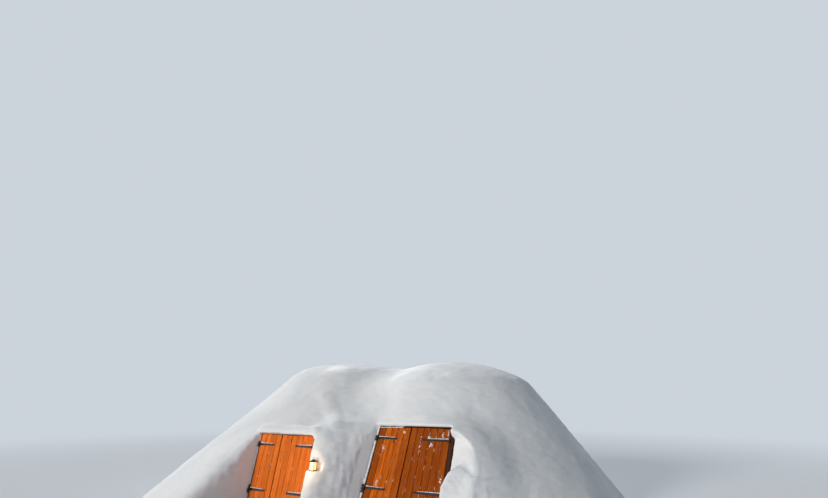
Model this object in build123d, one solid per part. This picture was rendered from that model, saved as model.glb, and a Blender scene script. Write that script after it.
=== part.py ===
"""Igloo: two merged domes of packed snow, hollow, with two doorways closed by pairs of plank leaves.

Millimetres, +Z up. The doorways face -Y. The origin is on the ground under the middle of the mound.
"""
import os
from collections import namedtuple
from math import cos, radians, sin, sqrt, tan

from build123d import *

# Left mound
left_mound_height = 2880.0
left_crown_radius = 3900.0
left_crown_angle = 17.3
left_shoulder_radius = 1020.0
left_slope_angle = 41.1
left_crown_thickness = 450.0

# Right mound
right_mound_height = 2860.0
right_crown_radius = 3830.0
right_crown_angle = 25.3
right_shoulder_radius = 800.0
right_slope_angle = 52.8
right_crown_thickness = 460.0

# The right mound stands this far to the right of the left one, and this far behind it
mound_spacing = 2770.0
right_mound_setback = 400.0

# Joints in the snow: how far up the wall reaches, and how many pieces go round the outer half of each mound
wall_height = 1750.0
wall_pieces_a_side = 4

# Boards, frames and clearances that both doorways share
board_width = 135.0
board_thickness = 32.0
groove_width = 8.0
groove_depth = 5.0
leaf_gap = 8.0
post_width = 70.0
post_depth = 110.0
head_height = 70.0
stop_width = 22.0
stop_clearance = 5.0
sill_back_rise = 22.0

# Snow over the face of a post or head stays clear of the hinge plates and the leaf by this much
snow_clearance = 5.0
passage_arch_rise = 110.0

# Left doorway: a narrow leaf on the left, a wide one on the right, almost upright
left_door_offset = 513.0
left_door_lean = 10.6
left_door_foot_height = 120.0
left_door_setback = 123.0
left_leaf_height = 1180.0
left_door_narrow_boards = 4
left_door_wide_boards = 6
left_door_strap_drop = 190.0
left_door_strap_rise = 190.0
left_door_left_strap_length = 390.0
left_door_right_strap_length = 430.0
left_door_left_splay = 18.0
left_door_right_splay = 25.0

# Right doorway: the wide leaf is again on the right, and both lean well back with the slope of the snow
right_door_offset = 212.0
right_door_lean = 27.6
right_door_foot_height = 170.0
right_door_setback = 110.0
right_leaf_height = 1440.0
right_door_narrow_boards = 5
right_door_wide_boards = 6
right_door_strap_drop = 226.0
right_door_strap_rise = 320.0
right_door_left_strap_length = 425.0
right_door_right_strap_length = 540.0
right_door_left_splay = 40.0
right_door_right_splay = 71.0
right_door_open_gap = 15.0

# Swell of snow to the right of each doorway, measured from the middle of its door's foot. The cheek beside the
# right doorway cuts the one there to a sharp lip, and the one at the left doorway fills the valley to the next
right_swell_radius = 1200.0
right_swell_offset = 690.0
right_swell_setback = 1015.0
right_swell_height = 380.0
left_swell_radius = 1110.0
left_swell_offset = 895.0
left_swell_setback = 895.0
left_swell_height = 500.0

# Ledges and brace on the back of each leaf
ledge_height = 110.0
ledge_thickness = 24.0
ledge_inset = 150.0
ledge_side_clearance = 12.0
brace_width = 90.0

# Strap hinges and their pintles
strap_height = 50.0
strap_tip_height = 34.0
strap_thickness = 6.0
eye_radius = 15.0
eye_cut_clearance = 1.0
eye_clearance = 5.0
pin_radius = 8.0
pin_clearance = 0.1
pin_overrun = 6.0
arm_height = 16.0
boss_inset = 2.0
plate_width = 22.0
plate_height = 90.0
seat_gap = 0.3

# Lamp and the niche that it stands in, in the snow beside the left doorway
niche_offset = 236.0
niche_width = 300.0
niche_floor = 740.0
niche_height = 330.0
niche_depth = 240.0
lamp_width = 100.0
lamp_height = 190.0
lamp_wall_clearance = 40.0
lamp_base_height = 14.0
lamp_bar_width = 7.0
lamp_roof_height = 40.0
lamp_roof_overhang = 8.0
lamp_glass_inset = 4.0
lamp_glass_thickness = 3.0
lamp_ring_radius = 18.0
lamp_ring_thickness = 5.0
candle_radius = 20.0
candle_height = 85.0

# Heap of loose snow in the corner between the right doorway's right post and the cheek
heap_radius = 470.0
heap_offset = 480.0
heap_setback = 130.0
heap_shoulder_height = 530.0

FAR = 9000.0

Mound = namedtuple("Mound", "x y height crown_radius crown_angle shoulder_radius slope_angle")
Doorway = namedtuple(
    "Doorway",
    "name mound x y foot_height lean leaf_height left_leaf_width right_leaf_width "
    "strap_drop strap_rise left_strap_length right_strap_length left_splay right_splay open_gap",
)


def shoulder_points(height, crown_radius, crown_angle, shoulder_radius, slope_angle):
    """Where the crown meets the shoulder, and the shoulder meets the straight slope, as (radius, height)."""
    crown, slope = radians(crown_angle), radians(slope_angle)
    crown_end = (crown_radius * sin(crown), height - crown_radius * (1 - cos(crown)))
    shoulder_end = (
        crown_end[0] + shoulder_radius * (sin(slope) - sin(crown)),
        crown_end[1] - shoulder_radius * (cos(crown) - cos(slope)),
    )
    return crown_end, shoulder_end


def radius_at(mound, z):
    """Outer radius of a mound at a height on its straight slope."""
    _, (r, top) = shoulder_points(*mound[2:7])
    return r + (top - z) / tan(radians(mound.slope_angle))


def place_mounds():
    """Both mounds, with the middle of their outline on the origin."""
    left = Mound(0, 0, left_mound_height, left_crown_radius, left_crown_angle, left_shoulder_radius,
                 left_slope_angle)
    right = Mound(0, right_mound_setback, right_mound_height, right_crown_radius, right_crown_angle,
                  right_shoulder_radius, right_slope_angle)
    left_x = (radius_at(left, 0) - mound_spacing - radius_at(right, 0)) / 2
    return left._replace(x=left_x), right._replace(x=left_x + mound_spacing)


LEFT, RIGHT = place_mounds()


def face_y(mound, x, z):
    """Where the front of a mound is, at a place across it and a height."""
    return mound.y - sqrt(radius_at(mound, z) ** 2 - (x - mound.x) ** 2)


def place_doorway(name, mound, offset, setback, foot_height, lean, leaf_height, *rest):
    """A doorway whose leaves' top edge lies a setback behind the face of its mound."""
    x = mound.x + offset
    top = foot_height + leaf_height * cos(radians(lean))
    y = face_y(mound, x, top) + setback - leaf_height * sin(radians(lean))
    return Doorway(name, mound, x, y, foot_height, lean, leaf_height, *rest)


LEFT_DOOR = place_doorway(
    "left_door", LEFT, left_door_offset, left_door_setback, left_door_foot_height, left_door_lean,
    left_leaf_height, left_door_narrow_boards * board_width, left_door_wide_boards * board_width,
    left_door_strap_drop, left_door_strap_rise, left_door_left_strap_length, left_door_right_strap_length,
    left_door_left_splay, left_door_right_splay, 0,
)
RIGHT_DOOR = place_doorway(
    "right_door", RIGHT, right_door_offset, right_door_setback, right_door_foot_height, right_door_lean,
    right_leaf_height, right_door_narrow_boards * board_width, right_door_wide_boards * board_width,
    right_door_strap_drop, right_door_strap_rise, right_door_left_strap_length, right_door_right_strap_length,
    right_door_left_splay, right_door_right_splay, right_door_open_gap,
)


def clear_width(door):
    """Width between the posts: both leaves, and a gap at each post and between the leaves."""
    return door.left_leaf_width + door.right_leaf_width + 3 * leaf_gap


def door_plane(door):
    """Frame of a doorway: x along the door, y up its slope from the leaves' foot, z outwards."""
    lean = radians(door.lean)
    foot = (door.x, door.y, door.foot_height)
    return Plane(origin=foot, x_dir=(1, 0, 0), z_dir=(0, -cos(lean), sin(lean)))


def hinge_height():
    """Distance of the hinge axis in front of the boards and posts."""
    return eye_radius + eye_clearance


def block(x0, x1, y0, y1, z0, z1):
    """A box given by its two corners."""
    return Pos((x0 + x1) / 2, (y0 + y1) / 2, (z0 + z1) / 2) * Box(x1 - x0, y1 - y0, z1 - z0)


GROUND = block(-FAR, FAR, -FAR, FAR, -FAR, 0)


def mound_solid(mound):
    """The outside of a mound: crown, rounded shoulder and straight slope, turned about its axis."""
    crown_end, shoulder_end = shoulder_points(*mound[2:])
    crown, slope = radians(mound.crown_angle), radians(mound.slope_angle)
    middle = (crown + slope) / 2
    crown_middle = (
        mound.crown_radius * sin(crown / 2),
        mound.height - mound.crown_radius * (1 - cos(crown / 2)),
    )
    shoulder_middle = (
        crown_end[0] + mound.shoulder_radius * (sin(middle) - sin(crown)),
        crown_end[1] - mound.shoulder_radius * (cos(crown) - cos(middle)),
    )
    with BuildPart() as part:
        with BuildSketch(Plane.XZ):
            with BuildLine():
                ThreePointArc((0, mound.height), crown_middle, crown_end)
                ThreePointArc(crown_end, shoulder_middle, shoulder_end)
                Polyline(shoulder_end, (radius_at(mound, 0), 0), (0, 0), (0, mound.height))
            make_face()
        revolve(axis=Axis.Z)
    return Pos(mound.x, mound.y, 0) * part.part


def swell_solid(door, radius, offset, setback, height):
    """The swell beside a doorway: the part of a ball that stands on the ground."""
    return Pos(door.x + offset, door.y + setback, height) * Sphere(radius) - GROUND


def room_solid(mound, crown_thickness):
    """The hollow inside a mound, a ball about the middle of its floor."""
    return Pos(mound.x, mound.y, 0) * Sphere(mound.height - crown_thickness)


def covered_half(door):
    """Half the width that snow over the faces of the posts leaves free, beside the hinge plates."""
    return clear_width(door) / 2 + plate_width + snow_clearance


def snow_edges(door):
    """Where the snow in front of a frame begins on the left and right, across the doorway."""
    open_side = clear_width(door) / 2 + post_width + door.open_gap
    return -covered_half(door), open_side if door.open_gap else covered_half(door)


def recess_solids(door):
    """The pocket that holds a doorway's frame, and what is dug out of the slope in front of its leaves."""
    half = clear_width(door) / 2 + post_width
    left, right = snow_edges(door)
    top = door.leaf_height + leaf_gap
    foot = -FAR / 4
    pocket = block(-half, half + door.open_gap, foot, top + head_height, -post_depth, 0)
    outline = Polyline(
        (left, 0),
        (right, 0),
        (right + FAR * tan(radians(door.right_splay)), FAR),
        (left - FAR * tan(radians(door.left_splay)), FAR),
        close=True,
    )
    dug = Pos(0, foot, 0) * extrude(Plane.XZ * make_face(outline), amount=foot - top - snow_clearance)
    location = door_plane(door).location
    return location * pocket, location * dug


def passage_solid(door):
    """The way through the snow behind a doorway's frame, with a flat-arched roof."""
    half = clear_width(door) / 2 - stop_width
    plane = door_plane(door)
    front = plane.origin.Y - plane.origin.Z * tan(radians(door.lean))
    roof = plane.from_local_coords((0, door.leaf_height + leaf_gap - stop_width, -post_depth)).Z
    spring = roof - passage_arch_rise
    with BuildPart() as part:
        with BuildSketch(Plane.XZ):
            with BuildLine():
                ThreePointArc((door.x - half, spring), (door.x, roof), (door.x + half, spring))
                Polyline((door.x + half, spring), (door.x + half, -FAR), (door.x - half, -FAR),
                         (door.x - half, spring))
            make_face()
        extrude(amount=front - door.mound.y, dir=(0, 1, 0))
    return Pos(0, door.mound.y, 0) * part.part


def niche_front():
    """How far forward the snow stands at the niche's floor: its middle, across and in depth."""
    x = LEFT_DOOR.x + snow_edges(LEFT_DOOR)[1] + niche_offset
    slope_y = face_y(LEFT, x, niche_floor)
    lean = radians(RIGHT_DOOR.lean)
    edge = RIGHT_DOOR.x + snow_edges(RIGHT_DOOR)[0]
    jamb_y = RIGHT_DOOR.y + (niche_floor - RIGHT_DOOR.foot_height) * tan(lean)
    cheek_y = jamb_y - (edge - x) / tan(radians(RIGHT_DOOR.left_splay)) / cos(lean)
    return x, max(slope_y, cheek_y)


def niche_solid():
    """The arched hollow beside the left doorway in which the lamp stands."""
    x, front = niche_front()
    radius = niche_width / 2
    with BuildPart() as part:
        with BuildSketch(Plane.XZ):
            with Locations((x, niche_floor + (niche_height - radius) / 2)):
                Rectangle(niche_width, niche_height - radius)
            with Locations((x, niche_floor + niche_height - radius)):
                Circle(radius)
        extrude(amount=FAR)
    return Pos(0, front + niche_depth, 0) * part.part


def wall_cells():
    """Upright blocks and wedges that cut the snow into its pieces."""
    l_half = clear_width(LEFT_DOOR) / 2 - stop_width
    r_half = clear_width(RIGHT_DOOR) / 2 - stop_width
    l0, l1 = LEFT_DOOR.x - l_half, LEFT_DOOR.x + l_half
    r0, r1 = RIGHT_DOOR.x - r_half, RIGHT_DOOR.x + r_half
    middle = (LEFT.x + RIGHT.x) / 2
    top = wall_height
    step = 180 / wall_pieces_a_side

    def wedge(x, first):
        a, b = radians(first), radians(first + step)
        points = [(x, 0), (x + FAR * cos(a), FAR * sin(a)), (x + FAR * cos(b), FAR * sin(b))]
        return extrude(make_face(Polyline(*points, close=True)), amount=top)

    cells = {
        "snow_over_left_door": block(l0, l1, -FAR, 0, 0, top),
        "pier_between_doors": block(l1, r0, -FAR, 0, 0, top),
        "snow_over_right_door": block(r0, r1, -FAR, 0, 0, top),
        "wall_back_left": block(l0, middle, 0, FAR, 0, top),
        "wall_back_right": block(middle, r1, 0, FAR, 0, top),
        "crown_left_front": block(-FAR, middle, -FAR, 0, top, FAR),
        "crown_left_back": block(-FAR, middle, 0, FAR, top, FAR),
        "crown_right_front": block(middle, FAR, -FAR, 0, top, FAR),
        "crown_right_back": block(middle, FAR, 0, FAR, top, FAR),
    }
    for i in range(wall_pieces_a_side):
        cells[f"wall_left_{i + 1}"] = wedge(l0, 90 + i * step)
        cells[f"wall_right_{i + 1}"] = wedge(r1, 90 - (i + 1) * step)
    return cells


def snow_pieces():
    """The snow shell, hollowed and dug out, and cut into its pieces."""
    shell = mound_solid(LEFT) + mound_solid(RIGHT)
    shell += swell_solid(LEFT_DOOR, left_swell_radius, left_swell_offset, left_swell_setback, left_swell_height)
    shell += swell_solid(RIGHT_DOOR, right_swell_radius, right_swell_offset, right_swell_setback,
                         right_swell_height)
    cuts = [room_solid(LEFT, left_crown_thickness), room_solid(RIGHT, right_crown_thickness)]
    for door in (LEFT_DOOR, RIGHT_DOOR):
        cuts += [*recess_solids(door), passage_solid(door)]
    cuts.append(niche_solid())
    for cut in cuts:
        shell -= cut
    return {name: shell & cell for name, cell in wall_cells().items()}


def frame_pieces(door):
    """Posts with their stops, head and sill of one doorway, in the doorway's own frame, cut at the ground."""
    half = clear_width(door) / 2
    top = door.leaf_height + leaf_gap
    stop_front = -board_thickness - stop_clearance
    foot = -FAR / 4

    def post(side):
        body = block(half, half + post_width, foot, top, -post_depth, 0)
        stop = block(half - stop_width, half, foot, top - stop_width, -post_depth, stop_front)
        piece = body + stop
        return piece if side > 0 else mirror(piece, Plane.YZ)

    head = block(-half - post_width, half + post_width, top, top + head_height, -post_depth, 0)
    head += block(-half, half, top - stop_width, top, -post_depth, stop_front)
    sill = block(-half + stop_width, half - stop_width, foot, -leaf_gap, -post_depth, 0)
    sill += block(-half, half, foot, -leaf_gap, stop_front, 0)
    sill += block(-half + stop_width, half - stop_width, -leaf_gap, sill_back_rise, -post_depth, stop_front)
    pieces = {"left_post": post(-1), "right_post": post(1), "head": head, "sill": sill}
    location = door_plane(door).location
    return {f"{door.name}_{part}": (location * piece) - GROUND for part, piece in pieces.items()}


def leaf_boards(width, height):
    """Upright boards, joined edge to edge with a V-shaped groove at each joint."""
    panel = block(0, width, 0, height, -board_thickness, 0)
    for i in range(1, round(width / board_width)):
        x = i * board_width
        groove = Polyline((x - groove_width / 2, 0), (x + groove_width / 2, 0), (x, -groove_depth), close=True)
        cutter = extrude(Plane.XZ * make_face(groove), amount=-height)
        panel -= cutter
    return panel


def leaf_ledges(width, height):
    """Two ledges across the back of the boards, and the brace between them, in one piece."""
    x0, x1 = stop_width + ledge_side_clearance, width - ledge_side_clearance
    back, front = -board_thickness - ledge_thickness, -board_thickness
    low0, high1 = ledge_inset, height - ledge_inset
    low1, high0 = low0 + ledge_height, high1 - ledge_height
    frame = block(x0, x1, low0, low1, back, front) + block(x0, x1, high0, high1, back, front)
    brace = Polyline((x0, low1), (x0 + brace_width, low1), (x1, high0), (x1 - brace_width, high0), close=True)
    return frame + extrude(Plane.XY.offset(back) * make_face(brace), amount=ledge_thickness)


def strap_solid(length, y):
    """One strap with its eye. The hinge axis runs along y, half a gap outside the boards' edge."""
    axis_x, axis_z = -leaf_gap / 2, hinge_height()
    outline = Polyline(
        (axis_x, y - strap_height / 2), (length, y - strap_tip_height / 2),
        (length, y + strap_tip_height / 2), (axis_x, y + strap_height / 2), close=True,
    )
    strap = extrude(make_face(outline), amount=strap_thickness)
    strap -= block(-eye_radius, 0, y - strap_height, y + strap_height, 0, strap_thickness)
    neck = Polyline((0, 0), (eye_radius, 0), (eye_radius, strap_thickness), (axis_x, axis_z + eye_radius),
                    (axis_x, axis_z), close=True)
    neck = Pos(0, y - strap_height / 2, 0) * extrude(Plane.XZ * make_face(neck), amount=-strap_height)
    eye = Pos(axis_x, y, axis_z) * Rot(90, 0, 0) * Cylinder(eye_radius, strap_height)
    bore = Pos(axis_x, y, axis_z) * Rot(90, 0, 0) * Cylinder(pin_radius + pin_clearance, 3 * strap_height)
    return strap + neck + eye - bore


def pintle_solid(y):
    """A plate on the post, an arm under the strap's eye, and the pin that the eye turns on."""
    axis_x, axis_z = -leaf_gap / 2, hinge_height()
    arm_top = y - strap_height / 2 - seat_gap
    post_edge = -leaf_gap
    plate = block(post_edge - plate_width, post_edge, arm_top - plate_height / 2, arm_top + plate_height / 2,
                  0, strap_thickness)
    plate -= Pos(axis_x, y, axis_z) * Rot(90, 0, 0) * Cylinder(eye_radius + eye_cut_clearance, 3 * strap_height)
    arm = block(post_edge - plate_width / 2, axis_x, arm_top - arm_height, arm_top, 0, axis_z + pin_radius)
    arm -= block(post_edge, FAR, arm_top - FAR, arm_top + FAR, -FAR, eye_clearance)
    boss = Pos(axis_x, arm_top - arm_height / 2, axis_z) * Rot(90, 0, 0) * Cylinder(eye_radius - boss_inset, arm_height)
    pin_length = arm_height + strap_height + pin_overrun
    pin = Pos(axis_x, arm_top - arm_height + pin_length / 2, axis_z) * Rot(90, 0, 0)
    return plate + arm + boss + pin * Cylinder(pin_radius, pin_length)


def leaf_pieces(door, side):
    """Boards, ledges, straps and pintles of one leaf. Side is -1 for the left leaf and 1 for the right."""
    width = door.left_leaf_width if side < 0 else door.right_leaf_width
    strap_length = door.left_strap_length if side < 0 else door.right_strap_length
    heights = (door.strap_rise, door.leaf_height - door.strap_drop)
    straps = [strap_solid(strap_length, y) for y in heights]
    pintles = [pintle_solid(y) for y in heights]
    pieces = {
        "boards": [leaf_boards(width, door.leaf_height)],
        "ledges": [leaf_ledges(width, door.leaf_height)],
        "straps": straps,
        "pintles": pintles,
    }
    hinge_edge = clear_width(door) / 2 - leaf_gap
    location = door_plane(door).location
    word = "left" if side < 0 else "right"
    placed = {}
    for part, solids in pieces.items():
        solids = [Pos(-hinge_edge, 0, 0) * solid for solid in solids]
        if side > 0:
            solids = [mirror(solid, Plane.YZ) for solid in solids]
        placed[f"{door.name}_{word}_{part}"] = Compound([location * s.solids()[0] for s in solids])
    return placed


def lamp_pieces():
    """A small square lantern on the floor of the niche: frame and roof, glass, and a candle."""
    x, front = niche_front()
    half = lamp_width / 2
    spot = Pos(x, front + niche_depth - lamp_wall_clearance - half, niche_floor)
    eaves = lamp_height - lamp_roof_height
    frame = block(-half, half, -half, half, 0, lamp_base_height)
    frame += block(-half, half, -half, half, eaves - lamp_bar_width, eaves)
    inner = half - lamp_bar_width
    for sx in (-1, 1):
        for sy in (-1, 1):
            corner = Pos(sx * (half + inner) / 2, sy * (half + inner) / 2, eaves / 2)
            frame += corner * Box(lamp_bar_width, lamp_bar_width, eaves)
    roof_half = half + lamp_roof_overhang
    with BuildPart() as roof:
        with BuildSketch(Plane.XY.offset(eaves)):
            Rectangle(2 * roof_half, 2 * roof_half)
        with BuildSketch(Plane.XY.offset(lamp_height)):
            Rectangle(2 * lamp_ring_thickness, 2 * lamp_ring_thickness)
        loft()
    ring = Pos(0, 0, lamp_height + lamp_ring_radius - lamp_ring_thickness / 2) * Rot(90, 0, 0)
    frame += roof.part + ring * Torus(lamp_ring_radius, lamp_ring_thickness / 2)
    outer = inner - lamp_glass_inset
    hollow = outer - lamp_glass_thickness
    glass_top = eaves - lamp_bar_width
    glass = block(-outer, outer, -outer, outer, lamp_base_height, glass_top)
    glass -= block(-hollow, hollow, -hollow, hollow, 0, eaves)
    candle = Pos(0, 0, lamp_base_height + candle_height / 2) * Cylinder(candle_radius, candle_height)
    return {"lamp_frame": spot * frame, "lamp_glass": spot * glass, "lamp_candle": spot * candle}


def heap_piece(neighbours):
    """Loose snow that has drifted into the corner between the right post and the cheek, with a round top."""
    start = RIGHT_DOOR.x + covered_half(RIGHT_DOOR)
    spot = Pos(start + heap_offset, RIGHT_DOOR.y + heap_setback, heap_shoulder_height)
    heap = spot * Sphere(heap_radius)
    heap += spot * Pos(0, 0, -heap_shoulder_height / 2) * Cylinder(heap_radius, heap_shoulder_height)
    solid = heap & block(start, start + FAR, -FAR, FAR, 0, FAR)
    for neighbour in neighbours:
        solid -= neighbour
    return max(solid.solids(), key=lambda s: s.volume)


def build():
    """Every piece of the igloo by name."""
    pieces = snow_pieces()
    for door in (LEFT_DOOR, RIGHT_DOOR):
        pieces.update(frame_pieces(door))
        pieces.update(leaf_pieces(door, -1))
        pieces.update(leaf_pieces(door, 1))
    pieces.update(lamp_pieces())
    beside = [f"wall_right_{wall_pieces_a_side}", "right_door_right_post", "right_door_sill"]
    pieces["snow_heap"] = heap_piece([pieces[name] for name in beside])
    return pieces


if __name__ == "__main__":
    os.makedirs("parts", exist_ok=True)
    for node, shape in build().items():
        export_step(shape, f"parts/{node}.step")
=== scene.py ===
# %% [markdown]
# This file dresses an igloo: two rounded tops of packed snow, run into one mass, with two doorways that pairs
# of plank leaves close. Nothing here moves or reshapes a solid: it gets a finish, or a more detailed piece
# stands for it.
# %% Load the frame
import math
from collections import namedtuple
from functools import reduce

import bpy
import numpy as np
from mathutils import Matrix, Vector


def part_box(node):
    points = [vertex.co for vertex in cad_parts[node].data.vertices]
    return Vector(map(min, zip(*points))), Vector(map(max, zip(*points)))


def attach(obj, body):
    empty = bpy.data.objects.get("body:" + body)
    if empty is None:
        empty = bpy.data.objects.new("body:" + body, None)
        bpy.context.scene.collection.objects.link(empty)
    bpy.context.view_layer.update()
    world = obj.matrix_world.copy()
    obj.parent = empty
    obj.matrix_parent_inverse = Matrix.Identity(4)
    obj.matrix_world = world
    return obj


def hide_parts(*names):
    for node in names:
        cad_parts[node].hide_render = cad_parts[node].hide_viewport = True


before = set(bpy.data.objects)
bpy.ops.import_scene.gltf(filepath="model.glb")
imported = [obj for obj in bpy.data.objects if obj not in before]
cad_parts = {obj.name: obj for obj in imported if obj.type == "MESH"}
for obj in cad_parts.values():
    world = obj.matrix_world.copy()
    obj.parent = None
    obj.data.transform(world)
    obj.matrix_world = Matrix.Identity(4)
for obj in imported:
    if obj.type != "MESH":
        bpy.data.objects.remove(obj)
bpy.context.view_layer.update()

# %% [markdown]
# A photograph fixes its camera once a few true lengths in it are known. Here the four leaves of the doors
# gave them, and the eye, the lens and the tilt were worked out beforehand. The lens is in pixels of a picture
# 828 wide, and the camera wants it as millimetres on a sensor 36 wide. The camera looks up, which is why the
# igloo stands low in the picture.
# %% The camera
PICTURE_WIDTH, LENS_PIXELS, SENSOR_WIDTH = 828, 429.0, 36.0
EYE, LOOK_UP, TURN_LEFT = (5.96, -9.89, 1.92), 19.5, 27.0

scene = bpy.context.scene


def new_object(data):
    """An object in the scene that has the name of its data."""
    thing = bpy.data.objects.new(data.name, data)
    scene.collection.objects.link(thing)
    return thing


scene.camera = camera = new_object(bpy.data.cameras.new("camera"))
camera.data.sensor_width = SENSOR_WIDTH
camera.data.lens = LENS_PIXELS / PICTURE_WIDTH * SENSOR_WIDTH
camera.location = EYE
camera.rotation_euler = (math.radians(90 + LOOK_UP), 0, math.radians(TURN_LEFT))
print(f"lens {camera.data.lens:.2f} mm")

# %% [markdown]
# A material is a chain of nodes, and chains are hard to read when each node takes three lines. These classes
# make them read like sums. Wire holds one output socket. Adding, subtracting or multiplying wires adds a Math
# node, and a number may stand on either side. Colours can't go through a Math node, which would turn them
# grey, so mix() blends them. Other nodes come from Graph.node().
# %% Shader maths as sums
class Wire:
    """An output socket of a graph. Sums with it add Math nodes."""

    def __init__(self, graph, socket):
        self.graph, self.socket = graph, socket

    def maths(self, operation, *values):
        return self.graph.node("Math", {"operation": operation}, dict(enumerate(values)))

    def __add__(self, other):
        return self.maths("ADD", self, other)

    def __sub__(self, other):
        return self.maths("SUBTRACT", self, other)

    def __rsub__(self, other):
        return self.maths("SUBTRACT", other, self)

    def __mul__(self, other):
        return self.maths("MULTIPLY", self, other)

    __radd__, __rmul__ = __add__, __mul__

    def ramp(self, low, high):
        """0 below low, 1 above high, and a smooth rise between them."""
        inputs = {"Value": self, "From Min": low, "From Max": high}
        return self.graph.node("MapRange", {"interpolation_type": "SMOOTHSTEP"}, inputs)


class Graph:
    """The nodes of a material or of the world."""

    def __init__(self, owner):
        owner.use_nodes = True
        self.nodes, self.links = owner.node_tree.nodes, owner.node_tree.links

    def plug(self, socket, value):
        if isinstance(value, Wire):
            self.links.new(value.socket, socket)
        elif socket.type == "RGBA":
            socket.default_value = (*value, 1.0)
        else:
            socket.default_value = value

    def node(self, kind, settings=(), inputs=(), output=0):
        """Add a shader node, with its settings first and its sockets after, and return an output."""
        node = self.nodes.new("ShaderNode" + kind)
        for name, value in dict(settings).items():
            setattr(node, name, value)
        for name, value in dict(inputs).items():
            self.plug(node.inputs[name], value)
        return Wire(self, node.outputs[output])


class Finish(Graph):
    """A material in the making, with a Principled shader at its end."""

    def __init__(self, name, **constants):
        self.material = bpy.data.materials.new(name)
        super().__init__(self.material)
        self.shader = self.nodes["Principled BSDF"]
        self.set(**constants)

    def set(self, **inputs):
        """Fill sockets of the Principled shader, named like base_color, and return the material."""
        for name, value in inputs.items():
            self.plug(self.shader.inputs[name.replace("_", " ").title().replace("Ior", "IOR")], value)
        return self.material

    def places(self):
        """The point of the surface in the object's own frame."""
        return self.node("TexCoord", output="Object")

    def stretch(self, vector, scale):
        return self.node("VectorMath", {"operation": "MULTIPLY"}, {0: vector, 1: scale})

    def shift(self, vector, by):
        return self.node("VectorMath", {"operation": "ADD"}, {0: vector, 1: by})

    def noise(self, vector, scale, detail=3.0, roughness=0.5):
        inputs = {"Vector": vector, "Scale": scale, "Detail": detail, "Roughness": roughness}
        return self.node("TexNoise", {}, inputs, "Fac")

    def mix(self, amount, colour_a, colour_b):
        return self.node("Mix", {"data_type": "RGBA"}, {0: amount, 6: colour_a, 7: colour_b}, 2)

    def bump(self, height, distance, strength=1.0, under=None):
        inputs = {"Height": height, "Distance": distance, "Strength": strength}
        if under:
            inputs["Normal"] = under
        return self.node("Bump", {}, inputs)


print("the shader maths is ready")

# %% [markdown]
# The outside of a mound is a plain turned shape: a broad crown, a rounded shoulder and a straight slope to
# the ground. The same numbers stand in the part's source. A field says how far a point is from the surface,
# less than zero inside the snow, and such fields are easy to join, soften and carve.
# %% The two mounds
Mound = namedtuple("Mound", "x y height crown_radius crown_angle shoulder_radius slope_angle")
LEFT = Mound(-1.0107, 0.0, 2.88, 3.9, 17.3, 1.02, 41.1)
RIGHT = Mound(1.7593, 0.4, 2.86, 3.83, 25.3, 0.8, 52.8)


def mound_field(x, y, z, mound):
    """Distance from a mound's surface, below zero inside it."""
    crown, slope = math.radians(mound.crown_angle), math.radians(mound.slope_angle)
    middle = mound.height - mound.crown_radius
    shoulder_r = (mound.crown_radius - mound.shoulder_radius) * math.sin(crown)
    shoulder_z = middle + (mound.crown_radius - mound.shoulder_radius) * math.cos(crown)
    r = np.hypot(x - mound.x, y - mound.y)
    out, up = r - shoulder_r, z - shoulder_z
    on_crown = r * math.cos(crown) < (z - middle) * math.sin(crown)
    on_slope = out * math.cos(slope) > up * math.sin(slope)
    from_crown = np.hypot(r, z - middle) - mound.crown_radius
    from_slope = out * math.sin(slope) + up * math.cos(slope) - mound.shoulder_radius
    from_shoulder = np.hypot(out, up) - mound.shoulder_radius
    return np.where(on_crown, from_crown, np.where(on_slope, from_slope, from_shoulder))


def joined(a, b, softness):
    """Both shapes together, with a rounded hollow of that size where they meet."""
    overlap = np.maximum(softness - np.abs(a - b), 0) / softness
    return np.minimum(a, b) - overlap**2 * softness / 4


def carved(a, cut, softness):
    """Shape a with the cut taken out of it, and the edge of the cut rounded off."""
    return -joined(-a, cut, softness)


def largest(*fields):
    """What lies inside all the shapes, with sharp corners."""
    return reduce(np.maximum, fields)


def ball_field(x, y, z, centre, radius):
    return np.sqrt((x - centre[0]) ** 2 + (y - centre[1]) ** 2 + (z - centre[2]) ** 2) - radius


print("height of the left mound's axis:", -mound_field(LEFT.x, LEFT.y, 0.0, LEFT), "m")

# %% [markdown]
# Each doorway leans back with the snow that it is dug into. It has its own directions: u along the door, v up
# its slope and w out of its face, all from the middle of the leaves' foot. Every later piece of a door is
# made in these directions and put in place by one matrix, so a leaning door is no harder than an upright one.
# %% The two doorways
BOARD_WIDTH, BOARD_THICKNESS, LEAF_GAP = 0.135, 0.032, 0.008
POST_WIDTH, POST_DEPTH, HEAD_HEIGHT, STOP_WIDTH = 0.07, 0.11, 0.07, 0.022
STRAP_HEIGHT, STRAP_TIP_HEIGHT, STRAP_THICKNESS = 0.05, 0.034, 0.006
PLATE_WIDTH, SNOW_CLEARANCE = 0.022, 0.005
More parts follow.
